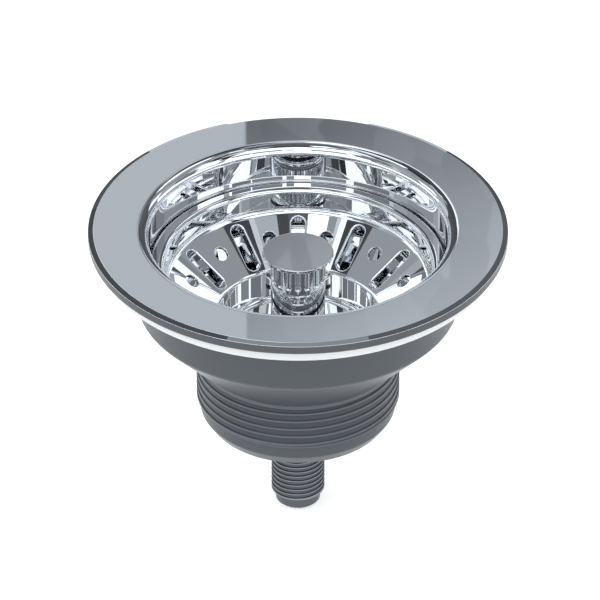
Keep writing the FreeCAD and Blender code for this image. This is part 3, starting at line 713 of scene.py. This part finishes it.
@dataclass
class Basket(Piece):
    """The pressed strainer basket: rolled rim, wall, slotted cone and cup."""

    sheet: float = 1.0
    wall: float = 36.5
    wall_foot: float = -11.5
    cup: float = 22.3
    cup_mouth: float = -21.5
    floor: float = 20.6
    floor_level: float = -29.9
    rim: float = 40.0
    rim_level: float = -4.7
    hole: float = 5.05
    count: int = 12
    columns_per_side: int = 16
    cell_rows: int = 6
    cell_crowding: float = 1.3
    roll_rows: int = 6
    slot: Opening = Opening(half_width=1.8, inner=3.2, outer=13.4, roll=0.55, depth=3.0, collar=0.8)
    drain_hole: Opening = Opening(half_width=2.0, inner=9.42, outer=9.42, roll=0.25, depth=1.0, collar=0.0)

    def __post_init__(self) -> None:
        """Work out the slope of the cone, and how far its underside's corners lie below the inside's."""
        run, rise = self.wall - self.cup, self.wall_foot - self.cup_mouth
        self.cos, self.sin = run / math.hypot(run, rise), rise / math.hypot(run, rise)
        self.drop = self.sheet * (1 - self.sin) / self.cos

    def outline(self) -> Outline:
        """Draw the pressing, whose two cone sides are left to the cells.

        Returns:
            The outline.
        """
        out = self.sheet
        return Outline([
            Corner(self.hole, self.floor_level - out),
            Corner(self.floor + out, self.floor_level - out, round=2.8),
            Corner(self.cup + out, self.cup_mouth - self.drop, round=0.6, side="cone underside"),
            Corner(self.wall + out, self.wall_foot - self.drop, round=3.6),
            Corner(self.wall + out, self.rim_level - out, round=0.5),
            Corner(self.rim, self.rim_level - out, round=0.45), Corner(self.rim, self.rim_level, round=0.45),
            Corner(self.wall, self.rim_level, round=1.5),
            Corner(self.wall, self.wall_foot, round=2.6, side="cone"),
            Corner(self.cup, self.cup_mouth, round=1.6), Corner(self.floor, self.floor_level, round=1.8),
            Corner(self.hole, self.floor_level)])

    def lift(self, place: Array, height: Array, middle: float) -> tuple[Array, Array, Array, Array]:
        """Carry points on the unrolled slope onto the cone.

        A point x across and u up the slope goes to radius cup + u cos, level mouth + u sin and angle x over
        radius from the cell's middle, and then by its height along the cone's normal.

        Args:
            place: rows x columns x 2, across and up the slope.
            height: distance above the inside of the cone.
            middle: the cell's middle angle.

        Returns:
            The points, and the directions across, up the slope and off the cone.
        """
        radius = self.cup + place[..., 1] * self.cos
        angle = middle + place[..., 0] / radius
        cos, sin, zero = np.cos(angle), np.sin(angle), np.zeros_like(angle)
        across = np.stack([-sin, cos, zero], axis=-1)
        up = np.stack([self.cos * cos, self.cos * sin, zero + self.sin], axis=-1)
        off = np.stack([-self.sin * cos, -self.sin * sin, zero + self.cos], axis=-1)
        base = np.stack([radius * cos, radius * sin, self.cup_mouth + place[..., 1] * self.sin], axis=-1)
        return base + off * height[..., None], across, up, off

    def border(self, low: float, high: float) -> Array:
        """Go round a cell's border in step with the hole's ring: near arc, one side, far arc, other side.

        Args:
            low: how far up the slope the cell starts.
            high: how far up it ends.

        Returns:
            The points (across, up the slope).
        """
        share = np.arange(self.columns_per_side) / self.columns_per_side
        half = math.pi / (2 * self.count)
        flat = np.zeros_like(share)
        turn = half * np.concatenate([2 * share - 1, flat + 1, 1 - 2 * share, flat - 1])
        rise = share * (high - low)
        up = np.concatenate([flat + low, low + rise, flat + high, high - rise])
        return np.stack([turn * (self.cup + up * self.cos), up], axis=1)

    def cell(self, skin: Skin, opening: Opening, middle: float, top: tuple[float, float],
             under: tuple[float, float]) -> None:
        """Add one cell of the cone: its inside, its underside, and the hole's rolled edge, wall and collar.

        Args:
            skin: the mesh that grows.
            opening: the hole in the cell.
            middle: the cell's middle angle.
            top: the slope distances between which the inside lies.
            under: the same for the underside.
        """
        columns = 4 * self.columns_per_side
        share = (np.linspace(0, 1, self.cell_rows) ** self.cell_crowding)[:, None, None]
        for limits, outward, height in ((top, opening.roll, 0.0), (under, opening.collar, -self.sheet)):
            near = opening.ring(columns, outward)[0]
            place = near * (1 - share) + self.border(*limits) * share
            points, _, _, off = self.lift(place, np.full(place.shape[:2], height), middle)
            skin.add(points, off if height == 0 else -off, closed=True)
        for part in self.hole_profile(opening):
            rows = np.array(part, dtype=float)
            rings = [opening.ring(columns, outward) for outward in rows[:, 0]]
            place = np.stack([ring[0] for ring in rings])
            inward = np.stack([ring[1] for ring in rings])
            points, across, up, off = self.lift(place, np.repeat(rows[:, 1:2], columns, axis=1), middle)
            aside = across * inward[..., :1] + up * inward[..., 1:]
            skin.add(points, aside * rows[:, 2, None, None] + off * rows[:, 3, None, None], closed=True)

    def hole_profile(self, opening: Opening) -> list[list[tuple[float, float, float, float]]]:
        """Follow a hole's edge from the inside of the cone: a quarter arc, the wall and any collar.

        Args:
            opening: the hole.

        Returns:
            The parts, as rows of distance outside the wall, height, and the normal's shares inward and off.
        """
        roll, deep, collar = opening.roll, -opening.depth, opening.collar
        parts = [[(roll * (1 - math.sin(a)), -roll * (1 - math.cos(a)), math.sin(a), math.cos(a))
                  for a in np.linspace(0, math.pi / 2, self.roll_rows)], [(0, -roll, 1, 0), (0, deep, 1, 0)]]
        if collar:
            parts.append([(0, deep, 0, -1), (collar, deep, 0, -1)])
            parts.append([(collar, deep, -1, 0), (collar, -self.sheet, -1, 0)])
        return parts

    def slope_limits(self, outline: Outline, side: str) -> tuple[float, float]:
        """Find how far up the slope a cone side starts and ends."""
        along = (outline.side(side).points - (self.cup, self.cup_mouth)) @ (self.cos, self.sin)
        return float(along.min()), float(along.max())

    def build(self) -> None:
        """Turn the rim, wall and cup, and set the cells of the cone between them."""
        skin, outline = Skin(), self.outline()
        cells = 2 * self.count
        Lathe(cells * self.columns_per_side).turn(skin, outline, skip=("cone", "cone underside"))
        top, under = self.slope_limits(outline, "cone"), self.slope_limits(outline, "cone underside")
        for number in range(cells):
            opening = self.drain_hole if number % 2 else self.slot
            self.cell(skin, opening, math.pi / 2 + number * math.tau / cells, top, under)
        self.seat(skin, "strainer_pressing", "basket", "strainer_basket", "chromed_basket",
                  self.finishes.basket)


@dataclass
class GripPost(Piece):
    """The fluted post under the cap. A flute is a round channel that ends in a ball."""

    radius: float = 7.5
    top: float = -2.35
    foot: float = -29.3
    tail: float = 5.0
    tail_foot: float = -38.7
    bore: float = 3.06
    chamber: float = 4.6
    chamber_floor: float = -25.3
    flutes: int = 18
    flute: float = 1.05
    circle: float = 7.95
    flute_length: float = 7.4
    land_columns: int = 6
    flute_columns: int = 10
    channel_rows: int = 3
    ball_rows: int = 9

    def build(self) -> None:
        """Set the flutes and the lands between them, and turn the plain parts.

        A distance d below the ball's middle, the flute's radius is the root of flute² - d². Post and flute
        cross at the angle whose cosine is (post² + circle² - radius²) / (2 post circle).
        """
        skin = Skin()
        ball, reach = self.top - self.flute_length + self.flute, self.circle - self.radius
        sink = math.sqrt(self.flute ** 2 - reach ** 2)
        bend = np.linspace(0, math.pi / 2, self.ball_rows)
        channel = np.linspace(self.top, ball, self.channel_rows)
        levels = np.concatenate([channel[:-1], ball - sink * np.sin(bend)])
        size = np.sqrt(np.maximum(self.flute ** 2 - np.maximum(ball - levels, 0) ** 2, reach ** 2))
        cosine = (self.radius ** 2 + self.circle ** 2 - size ** 2) / (2 * self.radius * self.circle)
        half = np.arccos(np.clip(cosine, -1, 1))[:, None]
        pitch = math.tau / self.flutes
        land = np.linspace(0, 1, self.land_columns + 1)
        hollow = np.linspace(-1, 1, self.flute_columns + 1)
        for number in range(self.flutes):
            middle = number * pitch + pitch / 2
            angle, across = middle + half + (pitch - 2 * half) * land, half * hollow
            self.land(skin, angle, levels)
            self.groove(skin, middle, across, size, levels, ball)
            self.top_face(skin, angle[0], np.full_like(angle[0], self.radius))
            self.top_face(skin, middle + across[0], self.near_side(across[0], size[0]))
        self.plain_parts(skin, ball - sink)
        self.seat(skin, "fluted_post", "basket", "grip_post", "chromed_grip", self.finishes.grip)

    def near_side(self, across: Array, size: Array) -> Array:
        """The distance from the axis to a flute: the smaller root on a ray at an angle from its middle."""
        inside = np.maximum(size ** 2 - (self.circle * np.sin(across)) ** 2, 0)
        return self.circle * np.cos(across) - np.sqrt(inside)

    def land(self, skin: Skin, angle: Array, levels: Array) -> None:
        """Add a land, rows x columns of angles on the post's own cylinder."""
        points = wrap(self.radius, angle, levels)
        skin.add(points, points * (1, 1, 0))

    def groove(self, skin: Skin, middle: float, across: Array, size: Array, levels: Array,
               ball: float) -> None:
        """Add a flute. Its normals point to its axis, and below the ball's middle to that middle.

        Args:
            skin: the mesh that grows.
            middle: the flute's middle angle.
            across: rows x columns of angles from the middle.
            size: the flute's radius at each level.
            levels: the levels of the rows.
            ball: the level of the ball's middle.
        """
        points = wrap(self.near_side(across, size[:, None]), middle + across, levels)
        axis = wrap(self.circle, np.full_like(across, middle), np.maximum(levels, ball))
        skin.add(points, axis - points)

    def top_face(self, skin: Skin, angle: Array, radius: Array) -> None:
        """Add a piece of the flat between the chamber and the post's edge.

        Args:
            skin: the mesh that grows.
            angle: the angles of the columns.
            radius: the edge's distance from the axis at each angle.
        """
        rows = np.stack([np.full_like(radius, self.chamber), radius])
        points = wrap(rows, angle, np.full(2, self.top))
        skin.add(points, np.zeros_like(points) + (0, 0, 1))

    def plain_parts(self, skin: Skin, low: float) -> None:
        """Turn the post below its flutes, its tail and its hollow, in columns that meet those of the lands.

        Args:
            skin: the mesh that grows.
            low: the level where the flutes end.
        """
        lathe = Lathe(self.flutes * self.land_columns, math.pi / self.flutes)
        lathe.turn(skin, Outline([
            Corner(self.bore, self.tail_foot), Corner(self.tail, self.tail_foot),
            Corner(self.tail, self.foot), Corner(self.radius, self.foot),
            Corner(self.radius, low, side="cover"),
            Corner(self.chamber, self.top), Corner(self.chamber, self.chamber_floor),
            Corner(self.bore, self.chamber_floor)]), skip=("cover",))


@dataclass
class KnobCap(Piece):
    """The flat disc on the post, with its plug."""

    radius: float = 9.7
    top: float = -1.35
    foot: float = -2.35
    round: float = 0.3
    plug: float = 4.6
    plug_foot: float = -7.35
    columns: int = 192

    def build(self) -> None:
        """Turn the cap and its plug."""
        skin = Skin()
        Lathe(self.columns).turn(skin, Outline([
            Corner(0.0, self.plug_foot), Corner(self.plug, self.plug_foot), Corner(self.plug, self.foot),
            Corner(self.radius, self.foot, self.round), Corner(self.radius, self.top, self.round),
            Corner(0.0, self.top, side="axis")]), skip=("axis",))
        self.seat(skin, "knob_disc", "basket", "knob_cap", "chromed_grip", self.finishes.grip)


@dataclass
class Spigot(Piece):
    """The hollow threaded spigot with its shank, collar and plain tip."""

    foot: float = -83.45
    tip: float = 6.2
    tip_inside: float = 5.5
    tip_edge: float = -82.75
    tip_top: float = -80.15
    thread_end: float = 6.7
    thread: Thread = Thread(crest=7.4, depth=0.4, pitch=1.5, foot=-79.45, top=-51.2, rows_per_pitch=16)
    shank: float = 8.0
    shank_foot: float = -50.8
    collar: float = 9.4
    collar_foot: float = -41.8
    collar_edge: float = -40.5
    top: float = -39.8
    top_outside: float = 8.7
    bush_bore: float = 4.9
    bush_floor: float = -50.6
    bore: float = 3.6
    bore_floor: float = -79.05
    columns: int = 128

    def build(self) -> None:
        """Turn the spigot and cut its thread."""
        skin, lathe, thread = Skin(), Lathe(self.columns), self.thread
        lathe.turn(skin, Outline([
            Corner(0.0, self.foot), Corner(self.tip_inside, self.foot), Corner(self.tip, self.tip_edge),
            Corner(self.tip, self.tip_top), Corner(self.thread_end, self.tip_top),
            Corner(thread.crest, thread.foot, side="thread"), Corner(thread.crest, thread.top),
            Corner(thread.crest, self.shank_foot), Corner(self.shank, self.shank_foot),
            Corner(self.shank, self.collar_foot), Corner(self.collar, self.collar_foot),
            Corner(self.collar, self.collar_edge), Corner(self.top_outside, self.top),
            Corner(self.bush_bore, self.top), Corner(self.bush_bore, self.bush_floor),
            Corner(self.bore, self.bush_floor), Corner(self.bore, self.bore_floor),
            Corner(0.0, self.bore_floor, side="axis")]), skip=("thread", "axis"))
        thread.cut(skin, lathe, Tone.THREAD)
        self.seat(skin, "spigot_stud", "drain", "threaded_spigot", "spigot_metal",
                  self.finishes.spigot, self.finishes.spigot, self.finishes.spigot_thread)


@dataclass
class HiddenParts(Piece):
    """The pieces whose CAD shape is shown as it is."""

    def build(self, nodes: dict[str, bpy.types.Object]) -> None:
        """Give each node its finish.

        Args:
            nodes: the CAD nodes by name.
        """
        groups = (
            (self.finishes.steel, ("outlet_cross", "cross_retaining_ring", "spigot_washer", "spigot_nut",
                                   "stem", "stem_clip", "seal_plate", "post_nut")),
            (self.finishes.plastic, ("head_washer", "stem_bush")),
            (self.finishes.rubber, ("detent_ring", "post_gasket", "stopper_seal")))
        for finish, names in groups:
            for name in names:
                materials = nodes[name].data.materials
                materials.clear()
                materials.append(self.finishes.of(finish))
                log.info("%s: %s", name, finish.name)


# Studio


@dataclass(frozen=True)
class Board:
    """A flat grey board of the surround: its middle and half extents in degrees, and its level.

    Azimuth is 0 behind the drain and grows to the right, and elevation is 0 at the horizon.
    """

    azimuth: float
    elevation: float
    half_width: float
    half_height: float
    level: float


@dataclass
class Surround:
    """White to the camera, even soft light on the object, and panels of grey where metal mirrors it.

    The field is the small part that the flat top mirrors, so it lies round the camera's own elevation.
    """

    field_elevation: float
    white: float = 1.05
    soft_level: float = 0.85
    light_tint: Colour = (0.98, 1.0, 1.02)
    mirrored_tint: Colour = (0.835, 0.911, 0.995)
    panel_width: float = 20.0
    panel_height: float = 17.0
    panel_levels: tuple[tuple[float, float], ...] = (
        (0.0, 0.04), (0.14, 0.25), (0.32, 0.45), (0.52, 0.7), (0.7, 1.3))
    # A board hides those before it
    boards: tuple[Board, ...] = (
        # Overhead and on the camera's side
        Board(0, 90, 180, 17, 0.13), Board(180, 68, 50, 8, 0.08), Board(180, 36, 55, 25, 1.6),
        Board(-156, 33, 14, 5.5, 0.31), Board(156, 33, 12, 5.5, 0.28), Board(174, 33, 3, 4, 0.3),
        Board(126, 71, 14, 5, 0.5), Board(-142, 73, 18, 5, 1.6), Board(-121, 70, 5, 6, 0.35),
        Board(-120, 34, 16, 9, 0.24), Board(135, 34, 8, 5, 0.22),
        # To the right and the left
        Board(105, 38, 10, 6, 1.6), Board(95, 60, 11, 9, 0.07), Board(-95, 60, 11, 9, 0.07),
        Board(67, 43, 18, 15, 0.34), Board(-67, 43, 18, 15, 0.36),
        # Behind the drain
        Board(0, 58, 60, 16, 0.7), Board(30, 36, 22, 7, 0.27), Board(41, 43, 8, 4, 1.4),
        Board(-38, 50, 8, 14, 0.05), Board(-35, 48, 27, 6, 0.04), Board(16, 54, 12, 8, 0.05),
        Board(-8, 57, 6, 9, 1.6), Board(46, 58, 7, 12, 1.6), Board(-55, 62, 8, 8, 1.6),
        Board(40, 70, 12, 8, 0.12),
        # Along the horizon, and again behind the drain
        Board(180, 3, 120, 9, 1.6), Board(0, 14, 44, 17, 0.1), Board(0, 13, 10, 16, 0.6),
        Board(28, 43, 8, 23, 0.12), Board(-25, 43, 11, 23, 0.08), Board(0, 69, 24, 4, 0.3))
    field_width: float = 4.0
    field_edge: float = -0.6
    field_left: float = 0.56
    field_back: float = 0.20
    field_front: float = 0.48
    field_side: float = 0.06
    fade_foot: float = -1.65
    fade_height: float = 2.0
    facet: float = 0.06
    facets_per_degree: float = 2.2
    wiring: Wiring = field(init=False)
    azimuth: Socket = field(init=False)
    elevation: Socket = field(init=False)

    def build(self) -> None:
        """Make the world: cells of grey, the boards before them and the field before all, by direction."""
        world = bpy.data.worlds.new("soft_surround")
        bpy.context.scene.world = world
        world.use_nodes = True
        self.wiring = Wiring(world.node_tree)
        wiring, background = self.wiring, world.node_tree.nodes["Background"]
        east, north, up = wiring.axes("Generated")
        self.azimuth = wiring.maths("MULTIPLY", wiring.maths("ARCTAN2", east, north), DEGREES)
        self.elevation = wiring.maths("MULTIPLY", wiring.maths("ARCSINE", up), DEGREES)
        level = self.cells()
        for board in self.boards:
            level = wiring.between(self.within(board), level, board.level)
        inside = self.within(Board(0, self.field_elevation, self.field_width, self.field_width, 0))
        level = wiring.between(inside, level, self.field_level())
        rays = wiring.node("ShaderNodeLightPath").outputs
        glossy = rays[Ray.GLOSSY.value]
        level = wiring.between(glossy, self.soft_level, level)
        level = wiring.between(rays[Ray.CAMERA.value], level, self.white)
        wiring.join(level, background.inputs["Strength"])
        channels = [wiring.between(glossy, *pair) for pair in zip(self.light_tint, self.mirrored_tint)]
        wiring.join(wiring.result("ShaderNodeCombineColor", *channels), background.inputs["Color"])

    def cells(self) -> Socket:
        """Divide the surround into cells of azimuth and elevation, each at a level chosen by chance.

        Returns:
            The level.
        """
        wiring = self.wiring
        column = wiring.maths("FLOOR", wiring.maths("DIVIDE", self.azimuth, self.panel_width))
        row = wiring.maths("FLOOR", wiring.maths("DIVIDE", self.elevation, self.panel_height))
        cell = wiring.result("ShaderNodeCombineXYZ", column, row)
        chance = wiring.result("ShaderNodeTexWhiteNoise", cell, noise_dimensions="3D")
        ramp = wiring.node("ShaderNodeValToRGB", chance)
        ramp.color_ramp.interpolation = "CONSTANT"
        stops = ramp.color_ramp.elements
        ready = len(stops)
        for number, (position, level) in enumerate(self.panel_levels):
            stop = stops[number] if number < ready else stops.new(position)
            stop.position = position
            stop.color = (level, level, level, 1)
        return ramp.outputs[0]

    def within(self, board: Board) -> Socket:
        """Test whether a direction meets a board: both distances from its middle are under its half extents.

        Args:
            board: the board.

        Returns:
            1 where it does, and else 0.
        """
        maths = self.wiring.maths
        turn = maths("WRAP", maths("SUBTRACT", self.azimuth, board.azimuth), 180, -180)
        rise = maths("SUBTRACT", self.elevation, board.elevation)
        return maths("MULTIPLY", maths("LESS_THAN", maths("ABSOLUTE", turn), board.half_width),
                     maths("LESS_THAN", maths("ABSOLUTE", rise), board.half_height))

    def field_level(self) -> Socket:
        """Divide the field into a plain light board on the left and a darker faceted one on the right.

        The dark board's level grows with elevation and to the right. Its facets are the cells of a Voronoi
        pattern, and each adds a chance amount.

        Returns:
            The level.
        """
        wiring, maths = self.wiring, self.wiring.maths
        place = wiring.result("ShaderNodeCombineXYZ", self.azimuth, self.elevation)
        facets = wiring.node("ShaderNodeTexVoronoi", place, voronoi_dimensions="2D")
        facets.inputs["Scale"].default_value = self.facets_per_degree
        red = wiring.result("ShaderNodeSeparateColor", facets.outputs["Color"])
        chance = maths("MULTIPLY", maths("SUBTRACT", red, 0.5), 2 * self.facet)
        height = maths("SUBTRACT", self.elevation, self.field_elevation + self.fade_foot)
        near = wiring.limit(maths("DIVIDE", height, self.fade_height))
        right = maths("ADD", wiring.between(near, self.field_back, self.field_front), chance)
        right = maths("ADD", right, maths("MULTIPLY", self.azimuth, self.field_side))
        return wiring.between(maths("GREATER_THAN", self.azimuth, self.field_edge), self.field_left, right)


@dataclass(frozen=True)
class Lamp:
    """A square soft lamp that looks at the drain: its place and side in metres, and its power in watts."""

    name: str
    place: Place
    size: float
    power: float

    def hang(self) -> None:
        """Hang the lamp. Metal doesn't mirror it."""
        light = bpy.data.lights.new(self.name, "AREA")
        light.size = self.size
        light.energy = self.power
        made = show(self.name, light)
        made.location = self.place
        made.rotation_euler = (-made.location).to_track_quat("-Z", "Y").to_euler()
        made.visible_glossy = False


@dataclass
class Studio:
    """A pale floor, soft lamps, the surround and the camera."""

    floor_level: float = -0.0838
    floor_size: float = 6.0
    floor_finish: Finish = Finish("pale_floor", (0.8, 0.8, 0.8), 0.9, metallic=0)
    floor_shown: float = 0.55
    floor_mirrored: float = 0.62
    lamps: tuple[Lamp, ...] = (
        Lamp("key_lamp", (-0.9, -0.7, 1.3), size=1.2, power=9.0),
        Lamp("fill_lamp", (1.1, -0.9, 0.7), size=1.4, power=4.0))
    target: Place = (0.0, 0.0, -0.017194)
    distance: float = 1.6203
    elevation: float = 33.96
    lens: float = 355.5
    shift: float = 0.00333
    reach: float = 20.0
    bounces: int = 24

    def build(self) -> None:
        """Make the floor, the surround, the lamps and the camera."""
        self.floor()
        Surround(self.elevation).build()
        for lamp in self.lamps:
            lamp.hang()
        self.camera()
        self.depth()

    def floor(self) -> None:
        """Lay a flat square under the drain, pale to every ray and keeping the shadow."""
        half, level = self.floor_size / 2, self.floor_level
        corners = [(-half, -half, level), (half, -half, level), (half, half, level), (-half, half, level)]
        mesh = bpy.data.meshes.new("floor")
        mesh.from_pydata(corners, [], [(0, 1, 2, 3)])
        material = self.floor_finish.make()
        wiring = Wiring(material.node_tree)
        wiring.shader.inputs["Emission Color"].default_value = (1, 1, 1, 1)
        wiring.join(self.seen(wiring), wiring.shader.inputs["Emission Strength"])
        mesh.materials.append(material)
        show("floor", mesh)

    def seen(self, wiring: Wiring) -> Socket:
        """Set the floor's own strength for rays from the camera, by reflection and through glass.

        Args:
            wiring: the floor's nodes.

        Returns:
            The strength, which is 0 for other rays.
        """
        rays = wiring.node("ShaderNodeLightPath").outputs
        mirrored = wiring.maths("MAXIMUM", rays[Ray.GLOSSY.value], rays[Ray.TRANSMISSION.value])
        mirrored = wiring.maths("MULTIPLY", mirrored, self.floor_mirrored)
        return wiring.between(rays[Ray.CAMERA.value], mirrored, self.floor_shown)

    def depth(self) -> None:
        """Let light bounce often enough between the bowl, the basket and the post."""
        bpy.context.scene.cycles.max_bounces = self.bounces
        bpy.context.scene.cycles.glossy_bounces = self.bounces

    def camera(self) -> None:
        """Stand the camera at the photograph's angle and distance."""
        data = bpy.data.cameras.new("camera")
        data.lens = self.lens
        data.shift_x = self.shift
        data.clip_end = self.reach
        made = show("camera", data)
        angle = math.radians(self.elevation)
        x, y, z = self.target
        made.location = (x, y - self.distance * math.cos(angle), z + self.distance * math.sin(angle))
        made.rotation_euler = (math.pi / 2 - angle, 0.0, 0.0)
        bpy.context.scene.camera = made


def main() -> None:
    """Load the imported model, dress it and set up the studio."""
    logging.basicConfig(level=logging.INFO)
    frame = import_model()
    bpy.context.scene.view_settings.view_transform = "Standard"
    finishes = Finishes()
    for part in (Flange, SinkGasket, Basket, GripPost, KnobCap, Spigot):
        part(finishes).build()
    HiddenParts(finishes).build(frame["nodes"])
    Studio().build()


if __name__ == "__main__":
    main()
